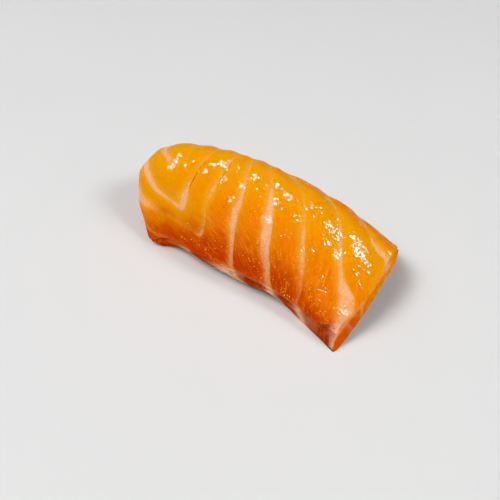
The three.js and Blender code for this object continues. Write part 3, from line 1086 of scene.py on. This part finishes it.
class StageSettings(bpy.types.PropertyGroup):
    """Floor, lights and camera."""

    floor_colour: bpy.props.FloatVectorProperty(
        name="Floor", description="Colour of the floor", default=(0.8, 0.8, 0.8), subtype="COLOR"
    )
    key_power: number_property("Key", "Power of the key light", 8.7, unit="POWER")
    back_power: number_property("Back", "Power of the light behind", 3.0, unit="POWER")
    lamp_power: number_property("Lamps", "Power of each small lamp that glints", 6.0, unit="POWER")
    sky: number_property("Sky", "Brightness of the surroundings", 0.16, subtype="FACTOR")
    lens: number_property("Lens", "Focal length on a 36 mm sensor", 44.57, unit="CAMERA")


# ---- operators


def dress(piece, material, slot, *nodes):
    """Gives a piece its finish and its place in the frame."""
    piece.data.materials.append(material)
    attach(piece, "root")
    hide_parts(*nodes)


class NIGIRI_OT_salmon(bpy.types.Operator):
    """Make the draped slice of salmon"""

    bl_idname = "nigiri.salmon"
    bl_label = "Salmon slice"

    def execute(self, context):
        settings = context.scene.nigiri_salmon
        dress(make_slice(settings), raw_salmon(settings), "raw_salmon", "salmon_slice")
        return {"FINISHED"}


class NIGIRI_OT_rice(bpy.types.Operator):
    """Make the bed of rice: its core and its grains"""

    bl_idname = "nigiri.rice"
    bl_label = "Rice bed"

    def execute(self, context):
        settings = context.scene.nigiri_rice
        material = cooked_rice(settings)
        for piece in (make_rice_core(settings), make_rice_grains(settings)):
            dress(piece, material, "cooked_rice", "rice_bed")
        return {"FINISHED"}


def aim(thing, place_mm, target_mm):
    """Puts a light or the camera at a place, looking at a target."""
    place = Vector(place_mm) * MM
    way = Vector(target_mm) * MM - place
    thing.location = place
    thing.rotation_euler = way.to_track_quat("-Z", "Y").to_euler()
    bpy.context.scene.collection.objects.link(thing)


def softbox(name, place_mm, size_mm, power):
    """A rectangular area light aimed at the piece."""
    light = bpy.data.lights.new(name, "AREA")
    light.shape = "RECTANGLE"
    light.size, light.size_y = (side * MM for side in size_mm)
    light.energy = power
    lamp = bpy.data.objects.new(name, light)
    aim(lamp, place_mm, LIGHT_TARGET)
    return lamp


class NIGIRI_OT_stage(bpy.types.Operator):
    """Make the floor, the lights and the camera"""

    bl_idname = "nigiri.stage"
    bl_label = "Stage"

    def execute(self, context):
        settings = context.scene.nigiri_stage
        corners = np.array([(-1, -1, 0), (1, -1, 0), (1, 1, 0), (-1, 1, 0)]) * FLOOR_HALF_MM
        floor = mesh_piece("floor", corners, [[0, 1, 2, 3]])
        floor.data.materials.append(pale_floor(settings))
        for name, (place, size) in SOFTBOXES.items():
            light = softbox(name, place, size, getattr(settings, name + "_power"))
            light.visible_glossy = False
        for azimuth, elevation, distance in LAMPS:
            turn, tilt = map(math.radians, (azimuth, elevation))
            flat = distance * math.cos(tilt)
            where = (flat * math.cos(turn), flat * math.sin(turn), distance * math.sin(tilt))
            lamp = softbox("lamp", where, LAMP_SIZE_MM, settings.lamp_power)
            lamp.visible_diffuse = False
        world = bpy.data.worlds.new("studio")
        world.use_nodes = True
        background = world.node_tree.nodes["Background"]
        background.inputs["Color"].default_value = (1, 1, 1, 1)
        background.inputs["Strength"].default_value = settings.sky
        context.scene.world = world
        context.scene.view_settings.view_transform = "Standard"
        camera = bpy.data.cameras.new("camera")
        camera.lens = settings.lens
        camera.sensor_width = SENSOR_WIDTH
        camera.clip_start = CLIP_START_M
        viewer = bpy.data.objects.new("camera", camera)
        aim(viewer, CAMERA_PLACE, CAMERA_TARGET)
        context.scene.camera = viewer
        return {"FINISHED"}


class NIGIRI_PT_panel(bpy.types.Panel):
    """Lists the pieces in the sidebar"""

    bl_idname = "NIGIRI_PT_panel"
    bl_label = "Salmon nigiri"
    bl_space_type = "VIEW_3D"
    bl_region_type = "UI"
    bl_category = "Nigiri"

    def draw(self, context):
        for settings, (_, operator) in GROUPS.items():
            box = self.layout.box()
            box.operator(operator.bl_idname)
            group = getattr(context.scene, settings)
            for name in group.__annotations__:
                box.prop(group, name)


GROUPS = {
    "nigiri_salmon": (SalmonSettings, NIGIRI_OT_salmon),
    "nigiri_rice": (RiceSettings, NIGIRI_OT_rice),
    "nigiri_stage": (StageSettings, NIGIRI_OT_stage),
}
CLASSES = (*(part for pair in GROUPS.values() for part in pair), NIGIRI_PT_panel)


def register():
    """Registers the classes and gives every scene their settings."""
    for part in CLASSES:
        bpy.utils.register_class(part)
    for name, (group, _) in GROUPS.items():
        setattr(bpy.types.Scene, name, bpy.props.PointerProperty(type=group))


def unregister():
    """Takes the settings and the classes away again."""
    for name in GROUPS:
        delattr(bpy.types.Scene, name)
    for part in reversed(CLASSES):
        bpy.utils.unregister_class(part)


def main():
    """Makes every piece."""
    register()
    bpy.ops.nigiri.stage()
    bpy.ops.nigiri.salmon()
    bpy.ops.nigiri.rice()


if __name__ == "__main__":
    main()
